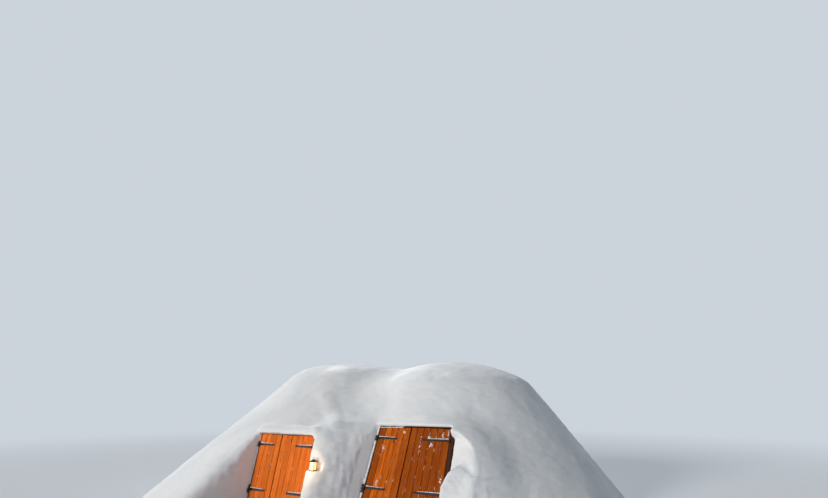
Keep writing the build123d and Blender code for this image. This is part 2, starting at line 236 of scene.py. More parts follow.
# Lean and splays are in degrees. The bowl is its middle across and up, and its radius. The edges say how soft
# the digging gets on the left and on the right.
Doorway = namedtuple("Doorway", "name x y foot lean height boards strap_heights strap_lengths splays "
                                "open_gap bowl edges sag")
LEFT_DOOR = Doorway(
    name="left_door", x=-0.4977, y=-2.97244, foot=0.12, lean=10.6, height=1.18,
    boards=(4, 6), strap_heights=(0.19, 0.99), strap_lengths=(0.39, 0.43),
    splays=(18.0, 25.0), open_gap=0.0, bowl=None, edges=(0.2, 0.2), sag=0.0,
)
RIGHT_DOOR = Doorway(
    name="right_door", x=1.9713, y=-2.6929, foot=0.17, lean=27.6, height=1.44,
    boards=(5, 6), strap_heights=(0.32, 1.214), strap_lengths=(0.425, 0.54),
    splays=(40.0, 71.0), open_gap=0.015, bowl=(0.66, 0.68, 0.6), edges=(0.34, 0.05), sag=0.024,
)
DOORS = (LEFT_DOOR, RIGHT_DOOR)


def half_width(door):
    """Half the width between the posts."""
    return (sum(door.boards) * BOARD_WIDTH + 3 * LEAF_GAP) / 2


def snow_top(door):
    """Where the snow above the leaves begins."""
    return door.height + LEAF_GAP + SNOW_CLEARANCE


def door_matrix(door):
    """Where a doorway's own directions stand in the frame."""
    lean = math.radians(door.lean)
    place = Matrix.Translation((door.x, door.y, door.foot))
    return place @ Matrix.Rotation(math.radians(90) - lean, 4, "X")


def snow_edges(door):
    """Where the snow beside the leaves begins, on the left and on the right."""
    covered = half_width(door) + PLATE_WIDTH + SNOW_CLEARANCE
    return -covered, half_width(door) + POST_WIDTH + door.open_gap if door.open_gap else covered


# inwards is 1 or -1, from the hinge towards the other leaf, and left is the leaf's left edge.
Leaf = namedtuple("Leaf", "name door boards strap_length inwards hinge left")
LEAVES = []
for door in DOORS:
    sides = zip(("left", "right"), door.boards, door.strap_lengths, (1, -1))
    for side, boards, strap_length, inwards in sides:
        hinge = inwards * (LEAF_GAP - half_width(door))
        left = min(hinge, hinge + inwards * boards * BOARD_WIDTH)
        LEAVES.append(Leaf(f"{door.name}_{side}", door, boards, strap_length, inwards, hinge, left))
    print(door.name, "between posts", round(2 * half_width(door), 3), "m, leans", door.lean, "degrees")

# %% [markdown]
# Three things are dug for each doorway. In front of the leaves the slope is cut away between two cheeks that
# open outwards, the right one of the right doorway so far that it makes a shallow bowl with a sharp lip.
# Behind that is a pocket for the timber frame, and then the way into the room. As fields, a flat cut is one
# sum, and the largest of several flat cuts is the corner between them.
# %% What is dug out of the snow
DUG_BEHIND, SIDE_CORNER, TOP_CORNER = 0.03, 0.02, 0.03
BOWL_START, BOWL_OPENING, BOWL_CORNER = 0.02, 0.5, 0.06
PASSAGE_RISE = 0.11


def door_directions(x, y, z, door):
    """A point in the doorway's own directions."""
    sin, cos = math.sin(math.radians(door.lean)), math.cos(math.radians(door.lean))
    v = (y - door.y) * sin + (z - door.foot) * cos
    w = (z - door.foot) * sin - (y - door.y) * cos
    return x - door.x, v, w


def dug_field(x, y, z, door):
    """What is cut from the slope in front of the leaves."""
    u, v, w = door_directions(x, y, z, door)
    (left, right), (left_splay, right_splay) = snow_edges(door), [math.radians(a) for a in door.splays]
    from_left = (left - u) * math.cos(left_splay) - w * math.sin(left_splay)
    from_right = (u - right) * math.cos(right_splay) - w * math.sin(right_splay)
    if door.bowl:
        across, up, radius = door.bowl
        cone = np.hypot(u - across, np.maximum(v - up, 0)) - radius - w * BOWL_OPENING
        by_leaf = u - half_width(door) - BOWL_START
        from_right = np.maximum(from_right, joined(cone, by_leaf, BOWL_CORNER))
    sides = carved(from_left, -from_right, SIDE_CORNER)
    return carved(np.maximum(sides, -w - DUG_BEHIND), snow_top(door) - v, TOP_CORNER)


def pocket_field(x, y, z, door):
    """The place of the timber frame."""
    u, v, w = door_directions(x, y, z, door)
    half = half_width(door) + POST_WIDTH
    across = np.maximum(-half - u, u - half - door.open_gap)
    up = v - (door.height + LEAF_GAP + HEAD_HEIGHT)
    return largest(across, up, np.abs(w + POST_DEPTH / 2) - POST_DEPTH / 2)


def passage_field(x, y, z, door, mound):
    """The way in behind the frame, with a roof in a flat arch."""
    half = half_width(door) - STOP_WIDTH
    lean = math.radians(door.lean)
    roof = door.foot + (door.height + LEAF_GAP - STOP_WIDTH) * math.cos(lean) - POST_DEPTH * math.sin(lean)
    radius = (half**2 + PASSAGE_RISE**2) / (2 * PASSAGE_RISE)
    arch = np.hypot(x - door.x, z - roof + radius) - radius
    front = door.y - door.foot * math.tan(lean)
    return largest(np.abs(x - door.x) - half, arch, front - y, y - mound.y)


print("the ways in are", [round(2 * (half_width(door) - STOP_WIDTH), 3) for door in DOORS], "m wide")

# %% [markdown]
# The lamp stands in a small arched hollow at the corner of the left doorway, and loose snow has slid into the
# corner to the right of the right doorway. Mounds and swells are joined with soft hollows, and the rooms, the
# ways in and the doorways are carved out. The edges of the digging are crisp at the leaves and rounder
# further out. A roll of snow hangs over the left doorway, and a few soft folds lift the surface beside the
# doorways. The sharp pockets and the ground come last.
# %% The whole snow mass as one field
SWELLS = (((0.3973, -2.0774, 0.5), 1.11), ((2.6613, -1.6779, 0.38), 1.2))
NICHE_X, NICHE_WIDTH, NICHE_FLOOR, NICHE_HEIGHT, NICHE_BACK = 0.4523, 0.30, 0.74, 0.33, -2.9864
HEAP_START = RIGHT_DOOR.x + half_width(RIGHT_DOOR) + PLATE_WIDTH + SNOW_CLEARANCE
HEAP_MIDDLE, HEAP_RADIUS = (HEAP_START + 0.27, RIGHT_DOOR.y + 0.13, 0.40), 0.47
HEAP_SQUEEZE, HEAP_UNDER_SKIN, HEAP_FROM_LEAF = 1.75, 0.09, 0.01
ROOMS = ((LEFT, 2.43), (RIGHT, 2.40))
SKIN_INSET = 0.03
MOUND_JOIN, SWELL_JOIN, ROOM_JOIN, WAY_JOIN = 0.5, 0.25, 0.3, 0.05
HOOD_JOIN, NICHE_JOIN, HEAP_JOIN = 0.14, 0.03, 0.15
CRISP_EDGE, CRISP_UNTIL, SOFTENS_OVER = 0.05, 0.08, 0.3
HOOD_RADIUS, HOOD_END, HOOD_UP, HOOD_BACK = 0.09, 0.05, 0.06, 0.04
FOLDS = (
    ((-0.67, -1.72, 2.26), (-0.035, -2.06, 1.84), 0.0, 0.035),
    ((-0.035, -2.06, 1.84), (0.446, -2.46, 1.53), 0.035, 0.04),
    ((0.446, -2.46, 1.53), (0.60, -2.62, 1.40), 0.04, 0.0),
    ((-0.16, -2.3, 1.66), (0.42, -2.83, 1.3), 0.0, 0.022),
    ((3.06, -2.26, 1.2), (3.12, -2.42, 1.0), 0.0, 0.03),
    ((3.12, -2.42, 1.0), (3.14, -2.6, 0.9), 0.03, 0.0),
)
FOLD_REACH = 0.24


def fold_height(x, y, z, start, end, height, end_height):
    """How far a soft fold lifts the surface. It runs between two points and rises or sinks on its way."""
    start, along = np.array(start), np.array(end) - np.array(start)
    share = (x - start[0]) * along[0] + (y - start[1]) * along[1] + (z - start[2]) * along[2]
    share = np.clip(share / (along @ along), 0, 1)
    away = ball_field(x - share * along[0], y - share * along[1], z - share * along[2], start, 0)
    return (height + (end_height - height) * share) * np.maximum(1 - (away / FOLD_REACH) ** 2, 0) ** 2


def edge_softness(x, y, z, door):
    """How far the edges of the digging are rounded: hardly at the leaves, and more away from them."""
    u, v, w = door_directions(x, y, z, door)
    across = np.clip(u / half_width(door) / 2 + 0.5, 0, 1)
    soft = door.edges[0] + (door.edges[1] - door.edges[0]) * across
    return CRISP_EDGE + (soft - CRISP_EDGE) * np.clip((w - CRISP_UNTIL) / SOFTENS_OVER, 0, 1)


def swing_field(x, y, z, door):
    """The room in front of a doorway that its leaves swing through."""
    u, v, w = door_directions(x, y, z, door)
    return largest(np.abs(u) - half_width(door), -w - DUG_BEHIND, v - snow_top(door))


def hood_field(x, y, z, door):
    """A roll of snow that hangs over the timber above the leaves."""
    u, v, w = door_directions(x, y, z, door)
    low = snow_top(door)
    along = np.maximum(np.abs(u) - half_width(door) + HOOD_END, 0)
    roll = np.sqrt(along**2 + (v - low - HOOD_UP) ** 2 + (w + HOOD_BACK) ** 2) - HOOD_RADIUS
    return np.maximum(roll, low - v)


def niche_field(x, y, z):
    """The small arched hollow of the lamp."""
    radius = NICHE_WIDTH / 2
    arch_z = NICHE_FLOOR + NICHE_HEIGHT - radius
    arch = np.hypot(x - NICHE_X, np.maximum(z - arch_z, 0)) - radius
    return largest(arch, NICHE_FLOOR - z, y - NICHE_BACK)


def heap_field(x, y, z, skin):
    """The heap: a dome on an upright side, narrow along x, that stays under the skin of the mounds."""
    narrow_x = HEAP_MIDDLE[0] + (x - HEAP_MIDDLE[0]) * HEAP_SQUEEZE
    dome = ball_field(narrow_x, y, np.maximum(z, HEAP_MIDDLE[2]), HEAP_MIDDLE, HEAP_RADIUS)
    return largest(dome, skin + HEAP_UNDER_SKIN, HEAP_START + HEAP_FROM_LEAF - x)


def snow_field(x, y, z):
    """The whole mass, step by step."""
    snow = joined(mound_field(x, y, z, LEFT), mound_field(x, y, z, RIGHT), MOUND_JOIN)
    for centre, radius in SWELLS:
        snow = joined(snow, ball_field(x, y, z, centre, radius), SWELL_JOIN)
    snow = skin = snow + SKIN_INSET
    hollow = joined(*(ball_field(x, y, z, (m.x, m.y, 0), radius) for m, radius in ROOMS), ROOM_JOIN)
    for door, mound in zip(DOORS, (LEFT, RIGHT)):
        hollow = joined(hollow, passage_field(x, y, z, door, mound), WAY_JOIN)
    snow = carved(snow, hollow, WAY_JOIN)
    for door in DOORS:
        snow = carved(snow, dug_field(x, y, z, door), edge_softness(x, y, z, door))
    snow = joined(snow, hood_field(x, y, z, LEFT_DOOR), HOOD_JOIN)
    snow = np.maximum(snow, -swing_field(x, y, z, LEFT_DOOR))
    snow = carved(snow, niche_field(x, y, z), NICHE_JOIN)
    snow = joined(snow, heap_field(x, y, z, skin), HEAP_JOIN)
    snow = snow - largest(*(fold_height(x, y, z, *fold) for fold in FOLDS))
    return largest(snow, *(-pocket_field(x, y, z, door) for door in DOORS), -z)


print("snow above the left room:", round(float(-snow_field(LEFT.x, 0.0, 2.66)), 3), "m to the nearest air")

# %% [markdown]
# A field becomes a mesh by walking over a grid of points. A grid cell with snow at some corners and air at
# others gets one vertex, at the middle of the places where the surface crosses its edges, and each crossed
# grid edge gives a quad between its four cells. A voxel remesh does the same with equal cells. This grid has
# close lines at the doors and wide ones elsewhere, so small edges stay crisp and the rest stays light.
# %% A grid with close lines at the doors
CELL = 1.0


def lines(stops, steps):
    """Grid lines through all the stops, with a step for each stretch between two of them."""
    runs = [np.linspace(a, b, round((b - a) / (s * CELL)) + 1) for a, b, s in zip(stops, stops[1:], steps)]
    return np.unique(np.concatenate(runs))


grid_x = lines((-5.5, -1.6, 3.6, 5.5), (0.06, 0.022, 0.06))
grid_y = lines((-4.5, -3.9, -1.9, 4.5), (0.06, 0.024, 0.06))
grid_z = lines((-0.04, 1.66, 3.0), (0.024, 0.045))
print("grid of", len(grid_x), "by", len(grid_y), "by", len(grid_z), "points")

# %% Walk over the grid
field = snow_field(grid_x[:, None, None], grid_y[None, :, None], grid_z[None, None, :]).astype(np.float32)
CORNERS = [(i, j, k) for i in (0, 1) for j in (0, 1) for k in (0, 1)]
STEPS = np.eye(3, dtype=int)


def crossed_cells(inside):
    """Cells with snow at some corners and air at others, as rows of three numbers."""
    n, whole = inside.shape, inside.astype(np.int8)
    count = sum(whole[i:n[0] - 1 + i, j:n[1] - 1 + j, k:n[2] - 1 + k] for i, j, k in CORNERS)
    return np.argwhere((count > 0) & (count < 8))


def cell_vertices(cells, field, axes):
    """The middle of the crossings on each cell's edges."""
    total, hits = np.zeros((len(cells), 3)), np.zeros(len(cells))
    for start in CORNERS:
        for axis in (a for a in range(3) if start[a] == 0):
            one, two = cells + start, cells + start + STEPS[axis]
            here, there = field[tuple(one.T)], field[tuple(two.T)]
            crossed = (here < 0) != (there < 0)
            share = here / np.where(crossed, here - there, 1)
            point = np.stack([axes[a][one[:, a]] for a in range(3)], axis=1)
            point[:, axis] += (axes[axis][two[:, axis]] - point[:, axis]) * share
            total += np.where(crossed[:, None], point, 0)
            hits += crossed
    return total / hits[:, None]


def cell_quads(cells, inside):
    """A quad for each crossed grid edge, facing out of the snow. The grid's border has to be all air."""
    number = np.full(inside.shape, -1, np.int32)
    number[tuple(cells.T)] = np.arange(len(cells))
    quads = []
    for axis in range(3):
        a, b = STEPS[(axis + 1) % 3], STEPS[(axis + 2) % 3]
        low = np.take(inside, range(inside.shape[axis] - 1), axis)
        edges = np.argwhere(low != np.take(inside, range(1, inside.shape[axis]), axis))
        quad = np.stack([number[tuple((edges - back).T)] for back in (a + b, b, 0 * a, a)], axis=1)
        outwards = low[tuple(edges.T)]
        quads.append(np.where(outwards[:, None], quad, quad[:, ::-1]))
    return np.concatenate(quads)


inside = field < 0
snow_cells = crossed_cells(inside)
snow_points = cell_vertices(snow_cells, field, (grid_x, grid_y, grid_z))
snow_quads = cell_quads(snow_cells, inside)
print("the snow has", len(snow_points), "vertices and", len(snow_quads), "quads")

# %% [markdown]
# Packed snow isn't smooth. Shovels and wind leave it wavy over a metre and lumpy over a hand's width. Noise
# of three sizes moves each vertex along its normal. The heap gets clods of its own, and the dug sides get
# upright flutes, as a shovel leaves them. Near the leaves the snow only ever draws back, so that no lump
# stands in a door's way. The whole skin starts 30 mm inside the mounds, so that the lumps stay within the
# CAD box.
# %% Smooth random numbers
SCRAMBLE = (73856093, 19349663, 83492791)
WIDE_WAVES, SMALL_WAVES, LUMPS = (0.017, 0.85, 1), (0.010, 0.3, 2), (0.006, 0.13, 3)
CLODS, FLUTES = (0.012, 0.1, 4), (0.009, 0.09, 5)
FLAT_LUMPS, UPRIGHT_FLUTES = (1, 1, 1.8), (1, 1, 0.3)
SWING_REACH, TOP_REACH, CALM_REACH = 0.15, 0.1, 0.12
HEAP_REACH, DUG_REACH, CALMER, MOST_SWELL = 0.1, 0.05, 0.6, 0.03
FLAT_AT_GROUND, FLAT_AT_NICHE = 0.004, 0.006


def value_noise(points, height, size, seed):
    """Numbers from -height to height that change smoothly over the given size in metres."""
    table = np.random.default_rng(seed).uniform(-1, 1, 4096)
    places = points / size
    base = np.floor(places).astype(np.int64)
    share = places - base
    share = share * share * (3 - 2 * share)
    result = np.zeros(len(points))
    for corner in CORNERS:
        mixed = (base + corner) * SCRAMBLE
        weight = np.prod(np.where(np.array(corner), share, 1 - share), axis=1)
        result += weight * table[(mixed[:, 0] ^ mixed[:, 1] ^ mixed[:, 2]) % len(table)]
    return height * result


def mesh_normals(mesh):
    normals = np.empty(len(mesh.vertices) * 3)
    mesh.vertex_normals.foreach_get("vector", normals)
    return normals.reshape(-1, 3)


def quick_mesh(name, points, faces):
    """A large mesh from arrays. Every face has the same number of corners."""
    mesh = bpy.data.meshes.new(name)
    mesh.vertices.add(len(points))
    mesh.vertices.foreach_set("co", points.astype(np.float32).ravel())
    mesh.loops.add(faces.size)
    mesh.loops.foreach_set("vertex_index", faces.astype(np.int32).ravel())
    mesh.polygons.add(len(faces))
    mesh.polygons.foreach_set("loop_start", np.arange(0, faces.size, faces.shape[1], dtype=np.int32))
    mesh.update(calc_edges=True)
    mesh.shade_smooth()
    return mesh


def fading(away, end, reach):
    """1 near by and 0 from some reaches away on, with a straight fall over the last reach."""
    return np.clip(end - away / reach, 0, 1)


def near_doors(points, dug):
    """1 beside and above the leaves, where the snow must not swell, falling to 0 a hand's width away."""
    near = np.zeros(len(points))
    for door, away in zip(DOORS, dug):
        v, w = door_directions(*points.T, door)[1:]
        out = np.where(v > door.height - TOP_REACH, 0, w - SWING_REACH)
        near = np.maximum(near, fading(np.maximum(away, out), 1.3, CALM_REACH))
    return near


def roughened(points, normals):
    """The vertices moved along their normals by noise, with clods on the heap and flutes where it is dug."""
    dug = [np.abs(dug_field(*points.T, door)) for door in DOORS]
    by_door = near_doors(points, dug)
    by_dug = fading(np.minimum(*dug), 1.5, DUG_REACH)
    by_heap = fading(ball_field(*points.T, HEAP_MIDDLE, HEAP_RADIUS), 1.2, HEAP_REACH)
    waves = value_noise(points, *WIDE_WAVES) + value_noise(points, *SMALL_WAVES)
    lumps = value_noise(points * FLAT_LUMPS, *LUMPS) + by_heap * value_noise(points, *CLODS)
    lumps += by_dug * value_noise(points * UPRIGHT_FLUTES, *FLUTES)
    move = waves * (1 - CALMER * by_door) + lumps
    move = np.where(by_door > 0, np.minimum(move, MOST_SWELL * (1 - by_door)), move)
    above_niche = np.abs(points[:, 2] - NICHE_FLOOR)
    move[(points[:, 2] < FLAT_AT_GROUND) | (above_niche < FLAT_AT_NICHE)] = 0
    return points + normals * move[:, None]


snow_mesh = quick_mesh("snow", snow_points, snow_quads)
snow_points = roughened(snow_points, mesh_normals(snow_mesh))
snow_points[:, 2] = np.maximum(snow_points[:, 2], 0)
snow_mesh.vertices.foreach_set("co", snow_points.astype(np.float32).ravel())
snow_mesh.update()
print("highest point of the snow", round(float(snow_points[:, 2].max()), 3), "m")

# %% [markdown]
# The finish of snow is nearly one colour, so its life is in its surface. A fine grain a few millimetres
# across, softer clods, and faint strokes where a shovel patted it flat feed the bump. The colour drifts a
# little between white and a cooler, older white, and the roughness with it.
# %% The finish of packed snow
def snow_finish():
    finish = Finish("packed_snow", specular_ior_level=0.25)
    place = finish.places()
    age = finish.noise(place, 1.3, 4.0).ramp(0.35, 0.7)
    clods = finish.noise(place, 22.0, 4.0, 0.6)
    strokes = finish.noise(finish.stretch(place, (3.0, 3.0, 9.0)), 1.7, 3.0)
    grain = finish.noise(place, 260.0, 2.0, 0.7)
    tone = finish.mix(age, (0.84, 0.86, 0.885), (0.77, 0.805, 0.85))
    tone = finish.mix(grain.ramp(0.45, 0.75) * 0.5, tone, (0.9, 0.91, 0.92))
    surface = finish.bump(clods * 0.4 + strokes, 0.011, 0.5)
    surface = finish.bump(grain, 0.003, 0.5, under=surface)
    return finish.set(base_color=tone, roughness=0.62 + 0.25 * age, normal=surface)


snow_material = snow_finish()
print("snow finish with", len(snow_material.node_tree.nodes), "nodes")

# %% [markdown]
# The mass is one surface, but a single piece of it would be heavy to load, so it is split into three: the
# front, the back and the inside. They have the same vertices where they meet, and each keeps the normals of
# the whole mass, so that no line shows between them.
# %% Split the snow into three pieces
ROOM_SEAM, FRONT_SEAM = 0.06, -1.2


def add_piece(mesh, material, body, matrix=Matrix()):
    """A piece with its mesh's name that moves with a body and carries the given material."""
    piece = new_object(mesh)
    piece.matrix_world = matrix
    mesh.materials.append(material)
    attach(piece, body)
    return piece


def part_of_snow(name, chosen):
    """The chosen quads as a piece, with the normals of the whole mass."""
    used, faces = np.unique(snow_quads[chosen], return_inverse=True)
    mesh = quick_mesh(name, snow_points[used], faces.reshape(-1, 4))
    mesh.normals_split_custom_set_from_vertices(snow_normals[used])
    print(name, "has", 2 * len(mesh.polygons), "triangles")
    return add_piece(mesh, snow_material, "igloo")


snow_normals = mesh_normals(snow_mesh)
middles = snow_points[snow_quads].mean(axis=1)
room_air = np.minimum(*(ball_field(*middles.T, (m.x, m.y, 0), radius) for m, radius in ROOMS))
way_air = np.minimum(*(passage_field(*middles.T, door, m) for door, m in zip(DOORS, (LEFT, RIGHT))))
indoors = np.minimum(room_air, way_air) < ROOM_SEAM
in_front = middles[:, 1] < FRONT_SEAM
snow_front = part_of_snow("snow_front", ~indoors & in_front)
snow_back = part_of_snow("snow_back", ~indoors & ~in_front)
snow_inside = part_of_snow("snow_inside", indoors)
snow_nodes = [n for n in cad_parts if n.startswith(("crown_", "wall_", "pier_", "snow_"))]
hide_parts(*(n for n in snow_nodes if "back" not in n))
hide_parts(*(n for n in snow_nodes if "back" in n))
print("the three pieces stand for", len(snow_nodes), "solids")

# %% [markdown]
# The boards are spruce. Sawn wood shows long thin streaks along the board, wider bands of darker late wood,
# and a knot here and there. Each board comes from another part of the tree, so each carries a random shift
# and tint in two attributes. On the right leaf of the right door the tint also carries painted shade, darker
# on every board. Frost clings in patches. Streaks are noise squeezed across the board and drawn out along it.
# %% The finish of a board
def darker(colour, share):
    return [share * c for c in colour]


def board_finish(name, light, dark, frost):
    """Boards in their leaf's own frame, with the grain along y."""
    finish = Finish(name, specular_ior_level=0.05)
    tint = finish.node("Attribute", {"attribute_name": "tint"}, output="Fac")
    shift = finish.node("Attribute", {"attribute_name": "shift"}, output="Vector")
    place = finish.shift(finish.places(), shift)
    slow_place = finish.stretch(place, (3.0, 1.2, 3.0))
    wander = finish.node("TexNoise", {}, {"Vector": slow_place, "Scale": 1.0}, "Color")
    wander = finish.stretch(wander, (0.05, 0.05, 0.05))
    drawn = finish.stretch(finish.shift(place, wander), (1.0, 0.035, 1.0))
    streaks = finish.noise(drawn, 190.0, 3.0, 0.6)
    bands = finish.noise(drawn, 42.0, 2.0)
    inputs = {"Vector": finish.stretch(place, (6.0, 2.4, 6.0)), "Scale": 1.0, "Randomness": 0.9}
    knots = 1 - finish.node("TexVoronoi", {}, inputs, "Distance").ramp(0.05, 0.13)
    weather = finish.noise(place, 3.0, 4.0).ramp(0.42, 0.7)
    tone = finish.mix(bands.ramp(0.35, 0.66), light, dark)
    tone = finish.mix(streaks.ramp(0.5, 0.68) * 0.55, tone, darker(dark, 0.42))
    tone = finish.mix(tint * 0.8, tone, darker(dark, 0.45))
    tone = finish.mix(weather * 0.3, tone, darker(light, 0.62))
    tone = finish.mix(knots * 0.8, tone, darker(dark, 0.3))
    patches = finish.noise(finish.stretch(place, (5.0, 1.5, 5.0)), 1.0, 2.0).ramp(0.5, 0.62)
    flakes = finish.noise(finish.stretch(place, (60.0, 8.0, 60.0)), 1.4, 4.0, 0.7).ramp(0.6, 0.68)
    flakes = flakes * (patches * frost)
    tone = finish.mix(flakes, tone, (0.82, 0.84, 0.87))
    surface = finish.bump(streaks * 0.5 + bands * 0.5 - knots * 0.3, 0.0022, 0.7)
    surface = finish.bump(flakes, 0.004, 0.8, under=surface)
    return finish.set(base_color=tone, roughness=0.5 + 0.2 * weather + 0.15 * streaks, normal=surface)


LEFT_WOOD = ((0.95, 0.235, 0.03), (0.78, 0.155, 0.018))
RIGHT_WOOD = ((0.76, 0.17, 0.010), (0.46, 0.085, 0.005))
board_materials = {
    "left_door": board_finish("left_door_spruce", *LEFT_WOOD, frost=0.2),
    "right_door": board_finish("right_door_spruce", *RIGHT_WOOD, frost=0.5),
}
print("two board finishes:", [m.name for m in board_materials.values()])

# %% [markdown]
# A board is drawn out from its cross-section: eight points round a rectangle with eased edges, repeated along
# its length. Small changes from station to station keep the edges from being dead straight, and each top is
# cut a little higher or lower than the next. The tops of the right door follow a shallow curve, and the two
# boards that meet in the middle are a little narrower, so that a dark line shows there.
# %% Boards drawn out from a cross-section
BOARD_STATIONS, BOARD_EASE, END_EASE = 11, 0.006, 0.003
SAW_WANDER, FACE_WANDER = 0.0012, 0.001
BOARD_JOINT, MEETING_JOINT, TOP_STEP, FOOT_STEP = 0.0015, 0.004, 0.008, 0.006
TINT_SPREAD = {"left_door": 0.45, "right_door": 1.0}
# The right leaf of the right door is darker on every board, with tints of 0.85 and up: painted shade on the
# leaf farthest from the lamp.
SHADED_LEAF, PAINTED_SHADE_TINT, ARCH_MIDDLE = "right_door_right", 0.85, 0.15
rng = np.random.default_rng(11)


def lofted(sections):
    """Vertices and faces of a closed body through rings with the same number of points."""
    count = len(sections[0])
    points = [p for ring in sections for p in ring]
    faces = [tuple(range(count))[::-1], tuple(range(len(points) - count, len(points)))]
    for s in range(len(sections) - 1):
        for i in range(count):
            a, b = s * count + i, s * count + (i + 1) % count
            faces.append((a, b, b + count, a + count))
    return points, faces


def board_rings(x0, x1, bottom, top):
    """Rings round a board, in the leaf's own frame: x across, y up, z out of the face."""
    ease, last, rings = BOARD_EASE, BOARD_STATIONS - 1, []
    for s in range(BOARD_STATIONS):
        y = bottom + (top - bottom) * s / last
        end = END_EASE if s in (0, last) else 0.0
        left, right = x0 + end + rng.uniform(0, SAW_WANDER), x1 - end - rng.uniform(0, SAW_WANDER)
        front, back = -end - rng.uniform(0, FACE_WANDER), -BOARD_THICKNESS + end
        outline = [(left + ease, front), (left, front - ease), (left, back + ease), (left + ease, back),
                   (right - ease, back), (right, back + ease), (right, front - ease), (right - ease, front)]
        rings.append([(x, y, z) for x, z in outline])
    return rings


class Shape:
    """A mesh that is gathered from many small bodies."""

    def __init__(self):
        self.points, self.faces, self.values = [], [], []

    def add(self, body, *values):
        points, faces = body
        start = len(self.points)
        self.points += points
        self.faces += [tuple(start + i for i in face) for face in faces]
        self.values += [values] * len(points)

    def mesh(self, name, attributes=(), crease=None):
        """A smooth mesh, with sharp edges where faces meet at more than the crease angle."""
        mesh = bpy.data.meshes.new(name)
        mesh.from_pydata(self.points, [], self.faces)
        for i, (attribute, kind) in enumerate(attributes):
            data = mesh.attributes.new(attribute, kind, "POINT").data
            key = "vector" if kind == "FLOAT_VECTOR" else "value"
            data.foreach_set(key, np.array([v[i] for v in self.values], np.float32).ravel())
        mesh.shade_smooth()
        if crease:
            mesh.set_sharp_from_angle(angle=math.radians(crease))
        return mesh


def leaf_boards(leaf):
    """The boards of a leaf, each with its tint and its place in the tree."""
    shape, door, leaf_shade = Shape(), leaf.door, PAINTED_SHADE_TINT if leaf.name == SHADED_LEAF else 0.0
    for i in range(leaf.boards):
        x0, x1 = leaf.left + i * BOARD_WIDTH + BOARD_JOINT, leaf.left + (i + 1) * BOARD_WIDTH - BOARD_JOINT
        x0 += MEETING_JOINT * (leaf.inwards < 0 and i == 0)
        x1 -= MEETING_JOINT * (leaf.inwards > 0 and i == leaf.boards - 1)
        sag = door.sag * ((x0 + x1) / 2 / half_width(door) - ARCH_MIDDLE) ** 2
        top = door.height - sag - rng.uniform(0.0, TOP_STEP)
        rings = board_rings(x0, x1, rng.uniform(0, FOOT_STEP), top)
        # On the shaded leaf the tint starts at the painted shade and only grows darker from there.
        tint = leaf_shade + (TINT_SPREAD[door.name] - leaf_shade) * rng.uniform(0, 1) ** 2
        shape.add(lofted(rings), tint, rng.uniform(-9, 9, 3))
    return shape.mesh(f"{leaf.name}_planks", [("tint", "FLOAT"), ("shift", "FLOAT_VECTOR")], crease=32)


def ride_leaf(mesh, material, leaf):
    """A piece in its door's own directions that turns with a leaf."""
    return add_piece(mesh, material, f"{leaf.name}_leaf", door_matrix(leaf.door))


for leaf in LEAVES:
    material, slot = board_materials[leaf.door.name], leaf.door.name.replace("door", "boards")
    planks = ride_leaf(leaf_boards(leaf), material, leaf)
    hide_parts(f"{leaf.name}_boards")
    print(planks.name, "has", leaf.boards, "boards")

# %% [markdown]
# The straps and pintles of the CAD model have the right shape already. They get the finish of forged iron
# that has stood outside: nearly black, with brown rust in patches and a pitted skin. The frames, ledges and
# braces also keep their shape. Their wood is the board wood made much darker, nearly black on the right door:
# painted shade for the deep recess round the leaves. Their grain runs along the timber, so their finish turns
# the coordinates by the door's lean before it draws the noise out.
# %% Iron and frame timber
def iron_finish():
    finish = Finish("forged_iron", metallic=0.7, specular_ior_level=0.4)
    place = finish.places()
    rust = finish.noise(place, 28.0, 5.0, 0.65).ramp(0.5, 0.72)
    pits = finish.noise(place, 240.0, 3.0, 0.7)
    tone = finish.mix(rust * 0.8, (0.028, 0.026, 0.027), (0.13, 0.052, 0.024))
    tone = finish.mix(pits.ramp(0.55, 0.8) * 0.3, tone, (0.09, 0.085, 0.085))
    surface = finish.bump(pits + rust * 0.5, 0.0012, 0.6)
    return finish.set(base_color=tone, roughness=0.5 + 0.3 * rust, normal=surface)


def timber_finish(name, tone_light, tone_dark, lean, along):
    """Sawn timber. along is the squeeze of each axis once the lean is taken out, small along the grain."""
    finish = Finish(name, specular_ior_level=0.25)
    upright = finish.node("VectorRotate", {"rotation_type": "X_AXIS"},
                          {"Vector": finish.places(), "Angle": math.radians(lean)})
    drawn = finish.stretch(upright, along)
    streaks = finish.noise(drawn, 150.0, 4.0, 0.6)
    bands = finish.noise(drawn, 36.0, 2.0)
    damp = finish.noise(upright, 5.0, 3.0).ramp(0.4, 0.7)
    tone = finish.mix(bands.ramp(0.35, 0.65), tone_light, tone_dark)
    tone = finish.mix(streaks.ramp(0.5, 0.7) * 0.6, tone, darker(tone_dark, 0.4))
    tone = finish.mix(damp * 0.4, tone, darker(tone_dark, 0.5))
    surface = finish.bump(streaks * 0.6 + bands * 0.4, 0.002, 0.7)
    return finish.set(base_color=tone, roughness=0.6 + 0.2 * streaks, normal=surface)


def refinish(material, *nodes):
    """Give CAD solids a better finish."""
    for node in nodes:
        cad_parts[node].data.materials[0] = material


iron_material = iron_finish()
iron_nodes = [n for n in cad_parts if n.endswith(("_straps", "_pintles"))]
refinish(iron_material, *iron_nodes)
print("iron on", len(iron_nodes), "solids")
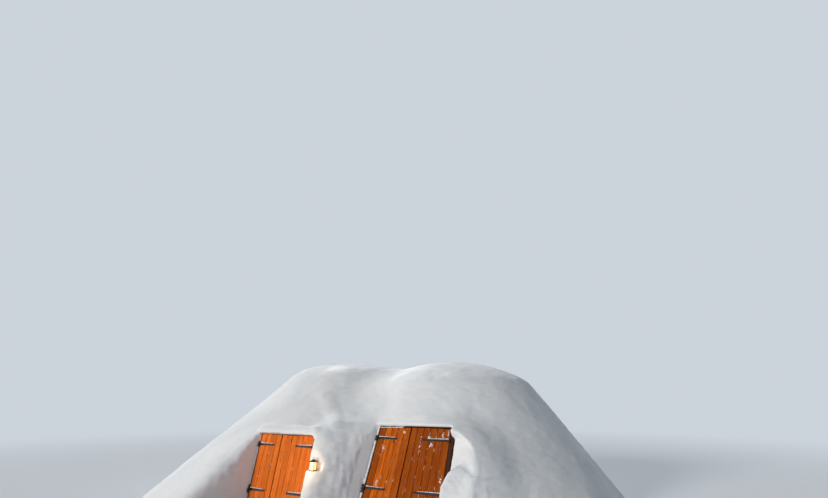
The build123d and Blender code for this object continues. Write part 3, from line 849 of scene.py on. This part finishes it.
# The frame timber is the board wood darkened to 0.28 on the left door and 0.07 on the right: painted shade,
# so the right frame reads almost black, like deep shadow round the leaves.
for door, wood, painted_shade_share in ((LEFT_DOOR, LEFT_WOOD, 0.28), (RIGHT_DOOR, RIGHT_WOOD, 0.07)):
    shade = [darker(tone, painted_shade_share) for tone in wood]
    upright = timber_finish(f"{door.name}_post_timber", *shade, door.lean, (1.0, 1.0, 0.05))
    across = timber_finish(f"{door.name}_cross_timber", *shade, door.lean, (0.05, 1.0, 1.0))
    refinish(upright, f"{door.name}_left_post", f"{door.name}_right_post")
    refinish(across, *(f"{door.name}_{part}" for part in ("head", "sill", "left_ledges", "right_ledges")))
    print(door.name, "frame and ledges have their timber")

# %% [markdown]
# Each strap is held by three bolts with low domed heads, which ride with their leaf. The heads are turned
# shapes: one profile carried round an axis.
# %% Bolts on the straps
def turned(profile, centre, sides=14):
    """A body turned about an axis out of the door's face, from (radius, height) points."""
    (x, y, z), angles = centre, [2 * math.pi * i / sides for i in range(sides)]
    return lofted([[(x + r * math.cos(a), y + r * math.sin(a), z + height) for a in angles]
                   for r, height in profile])


BOLT_PROFILE = ((0.011, -0.001), (0.011, 0.0015), (0.0098, 0.0035), (0.0072, 0.0052), (0.0036, 0.0062),
                (0.0008, 0.0065))
BOLT_SHARES = (0.12, 0.5, 0.88)
for leaf in LEAVES:
    heads = Shape()
    for v in leaf.door.strap_heights:
        for share in BOLT_SHARES:
            u = leaf.hinge + leaf.inwards * share * leaf.strap_length
            heads.add(turned(BOLT_PROFILE, (u, v, STRAP_THICKNESS)))
    ride_leaf(heads.mesh(f"{leaf.name}_bolts", crease=50), iron_material, leaf)
print("24 bolt heads")

# %% [markdown]
# Frozen snow is a row of small lumps that have run together, each an uneven ball pressed flat. They lie along
# the straps' upper edges, smaller towards the tips, in streaks between the boards, and in a few clumps on the
# right door. Ragged lines of larger ones lie on the posts and the heads, clear of the leaves and the hinges.
# %% Frozen snow on the straps, the boards and the frames
LUMP_RINGS, LUMP_SIDES = 5, 9
TOP_LUMPS, POST_LUMPS, HEAD_LUMPS = (0.006, 0.009), (0.02, 0.026), (0.008, 0.013)
POST_MIDDLE, HEAD_MIDDLE, SKIP_REACH, CLUMP_LUMPS = 0.027, 0.021, 0.04, 12
FROST_SPACING = {"left_door": 1.6, "right_door": 0.4}
CLUMPS = {
    "right_door_left": (
        (-0.568, 1.04, 0.01, 0.02), (-0.53, 0.42, 0.012, 0.03), (-0.196, 1.34, 0.012, 0.02),
    ),
    "right_door_right": (
        (0.396, 1.12, 0.012, 0.02), (0.337, 1.265, 0.015, 0.008), (0.182, 1.12, 0.003, 0.07),
        (0.60, 1.31, 0.008, 0.02), (0.712, 1.3, 0.004, 0.05), (0.69, 0.53, 0.01, 0.03),
    ),
}


def lump(centre, size):
    """A small uneven ball: size is its half-width in each direction."""
    sections = []
    for r in range(LUMP_RINGS):
        polar = math.pi * (r + 0.5) / LUMP_RINGS
        ring = []
        for i in range(LUMP_SIDES):
            a, wobble = 2 * math.pi * i / LUMP_SIDES, rng.uniform(0.86, 1.1)
            ring.append((centre[0] + size[0] * math.sin(polar) * math.cos(a) * wobble,
                         centre[1] + size[1] * math.sin(polar) * math.sin(a) * wobble,
                         centre[2] - size[2] * math.cos(polar)))
        sections.append(ring)
    return lofted(sections)


def add_ragged_line(snow, start, end, size_range, skips=()):
    """Lumps in a row from one point of a door to another, with none at the heights in skips."""
    length = math.dist(start, end)
    across, up = (end[0] - start[0]) / length, (end[1] - start[1]) / length
    gone = 0.0
    while gone < length:
        size = rng.uniform(*size_range)
        long = size * rng.uniform(1.1, 1.9)
        place = (start[0] + across * gone, start[1] + up * gone, 0)
        if all(abs(place[1] - skip) > SKIP_REACH + long for skip in skips):
            half = (size * up + long * across, size * across + long * up, size * rng.uniform(0.4, 0.9))
            snow.add(lump(place, half))
        gone += size * 1.1


def leaf_snow(leaf):
    """The frozen snow of one leaf: ridges on its straps, streaks in its joints, and clumps."""
    snow, height = Shape(), leaf.door.height
    for v in leaf.door.strap_heights:
        u = 0.02
        while u < leaf.strap_length * rng.uniform(0.8, 1.0):
            share = u / leaf.strap_length
            size = rng.uniform(0.006, 0.012) * (1.15 - 0.5 * share)
            top = v + (STRAP_HEIGHT - (STRAP_HEIGHT - STRAP_TIP_HEIGHT) * share) / 2
            place = (leaf.hinge + leaf.inwards * u, top + size * 0.3, size * 0.3)
            snow.add(lump(place, (size * 1.5, size * 0.8, size * 0.75)))
            u += size * 1.5
    for i in range(1, leaf.boards):
        v = rng.uniform(0.1, 0.9)
        while v < height - 0.08:
            size, long = rng.uniform(0.002, 0.0045), rng.uniform(0.008, 0.04)
            place = (leaf.left + i * BOARD_WIDTH + rng.normal(0, 0.002), v, -0.002)
            snow.add(lump(place, (size, long, size)))
            v += rng.exponential(FROST_SPACING[leaf.door.name]) + long
    for u, v, across, up in CLUMPS.get(leaf.name, ()):
        for _ in range(CLUMP_LUMPS):
            size = rng.uniform(0.004, 0.011)
            place = (u + rng.normal(0, across), v + rng.normal(0, up), 0)
            snow.add(lump(place, (size, size * rng.uniform(1.0, 2.0), size * 0.8)))
    if leaf.name == "right_door_left":
        start, end = (leaf.left, height - 0.018), (leaf.left + 0.5, height - 0.006)
        add_ragged_line(snow, start, end, TOP_LUMPS)
    return snow


for leaf in LEAVES:
    snow = leaf_snow(leaf)
    ride_leaf(snow.mesh(f"{leaf.name}_frozen_snow"), snow_material, leaf)
    print(leaf.name, "has", len(snow.points) // (LUMP_RINGS * LUMP_SIDES), "lumps")


def frame_snow(name, door, *line):
    """A ragged ridge on the face of a post or a head, clear of the leaves and of their hinges."""
    snow = Shape()
    add_ragged_line(snow, *line)
    add_piece(snow.mesh(f"{name}_snow"), snow_material, "igloo", door_matrix(door))


for leaf in LEAVES[:3]:
    door, u = leaf.door, -leaf.inwards * (half_width(leaf.door) + POST_MIDDLE)
    frame_snow(f"{leaf.name}_post", door, (u, 0.03), (u, door.height), POST_LUMPS, door.strap_heights)
for door, share in ((LEFT_DOOR, 1.0), (RIGHT_DOOR, 0.35)):
    half, v = half_width(door), door.height + HEAD_MIDDLE
    frame_snow(f"{door.name}_head", door, (-half, v), (-half + 2 * half * share, v), HEAD_LUMPS)
print("frozen snow on three posts and two heads")

# %% [markdown]
# The lamp is a small square lantern with a candle. Its frame is black sheet metal, and its panes are frosted,
# so they glow all over with the candle behind them. The glow is an emission on the panes, the wax and the
# flame. On the panes it stays low enough that the colour doesn't wash out to white.
# %% The lamp
def lamp_metal_finish():
    finish = Finish("lamp_black", metallic=0.4)
    wear = finish.noise(finish.places(), 60.0, 4.0, 0.6).ramp(0.5, 0.75)
    tone = finish.mix(wear, (0.03, 0.03, 0.033), (0.10, 0.075, 0.055))
    surface = finish.bump(wear, 0.0008, 0.4)
    return finish.set(base_color=tone, roughness=0.4 + 0.3 * wear, normal=surface)


def glowing_finish(name, tone, glow, strength, roughness):
    finish = Finish(name, roughness=roughness, emission_strength=strength)
    bloom = finish.noise(finish.places(), 35.0, 3.0)
    tone = finish.mix(bloom, tone, darker(tone, 0.85))
    glow = finish.mix(bloom, glow, darker(glow, 0.7))
    return finish.set(base_color=tone, emission_color=glow, normal=finish.bump(bloom, 0.0006, 0.4))


refinish(lamp_metal_finish(), "lamp_frame")
refinish(glowing_finish("frosted_pane", (1.0, 0.82, 0.55), (1.0, 0.5, 0.16), 1.6, 0.35), "lamp_glass")
refinish(glowing_finish("candle_wax", (0.92, 0.84, 0.68), (1.0, 0.5, 0.16), 0.6, 0.5), "lamp_candle")
candle_low, candle_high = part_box("lamp_candle")
wick = ((candle_low.x + candle_high.x) / 2, (candle_low.y + candle_high.y) / 2, candle_high.z)
FLAME_PROFILE = ((0.0006, 0.0), (0.0038, 0.004), (0.0058, 0.010), (0.0052, 0.017), (0.0028, 0.025),
                 (0.0005, 0.034))
flame = Shape()
flame.add(turned(FLAME_PROFILE, wick, sides=12))
flame_material = glowing_finish("flame", (1.0, 0.75, 0.35), (1.0, 0.6, 0.22), 4.0, 0.5)
add_piece(flame.mesh("lamp_flame"), flame_material, "igloo")
print("the lamp stands at", [round(c, 2) for c in wick])

# %% [markdown]
# The stage is a pale floor that fades, far from the igloo, into an equally pale surround, so that no horizon
# draws the eye. A soft warm key light comes low from the front left, so that both pairs of leaves are well
# lit. A second light comes from above, behind and to the left, and models the two tops. The world fills the
# shade with a cooler tone, while the camera and the glints on iron and glass see the plain surround.
# %% Floor and surround
SURROUND = (0.60, 0.65, 0.71)
FLOOR = (0.72, 0.76, 0.81)


def floor_material():
    finish = Finish("pale_floor", specular_ior_level=0.1, roughness=0.9)
    grain = finish.noise(finish.places(), 3.0, 3.0)
    finish.set(base_color=finish.mix(grain, FLOOR, darker(FLOOR, 0.97)))
    distance = finish.node("VectorMath", {"operation": "LENGTH"}, {0: finish.places()}, "Value")
    plain = finish.node("Emission", {}, {"Color": SURROUND, "Strength": 1.0})
    shader = Wire(finish, finish.shader.outputs["BSDF"])
    blended = finish.node("MixShader", {}, {0: distance.ramp(9.0, 26.0), 1: shader, 2: plain})
    finish.plug(finish.nodes["Material Output"].inputs["Surface"], blended)
    return finish.material


floor_mesh = bpy.data.meshes.new("floor")
floor_mesh.from_pydata([(-90, -90, 0), (90, -90, 0), (90, 90, 0), (-90, 90, 0)], [], [(0, 1, 2, 3)])
floor_mesh.materials.append(floor_material())
new_object(floor_mesh)

scene.world = bpy.data.worlds.new("surround")
world = Graph(scene.world)
plain = world.node("Background", {}, {"Color": SURROUND, "Strength": 1.0})
fill = world.node("Background", {}, {"Color": (0.84, 0.92, 1.0), "Strength": 0.25})
shows = world.node("LightPath", output="Is Camera Ray")
for ray in ("Is Glossy Ray", "Is Transmission Ray"):
    shows = shows.maths("MAXIMUM", shows, world.node("LightPath", output=ray))
chosen = world.node("MixShader", {}, {0: shows, 1: fill, 2: plain})
world.plug(world.nodes["World Output"].inputs["Surface"], chosen)
print("surround", SURROUND)

# %% Lights
scene.view_settings.view_transform = "Standard"


def add_sun(name, energy, width, towards, colour=(1.0, 1.0, 1.0)):
    """A soft sun that shines along a direction, and that looks as wide as the given angle."""
    sun = new_object(bpy.data.lights.new(name, "SUN"))
    sun.data.energy, sun.data.angle, sun.data.color = energy, math.radians(width), colour
    sun.rotation_euler = Vector(towards).to_track_quat("-Z", "Y").to_euler()


add_sun("key", 2.0, 14.0, (0.45, 0.85, -0.25), (1.0, 0.94, 0.86))
add_sun("behind_left", 1.5, 12.0, (0.5, -0.6, -0.62))
glow = new_object(bpy.data.lights.new("lamp_glow", "POINT"))
glow.data.energy, glow.data.color, glow.data.shadow_soft_size = 3.0, (1.0, 0.6, 0.28), 0.08
glow.location = Vector(wick) + Vector((-0.02, -0.2, 0.03))
print("two suns and the lamp's glow")
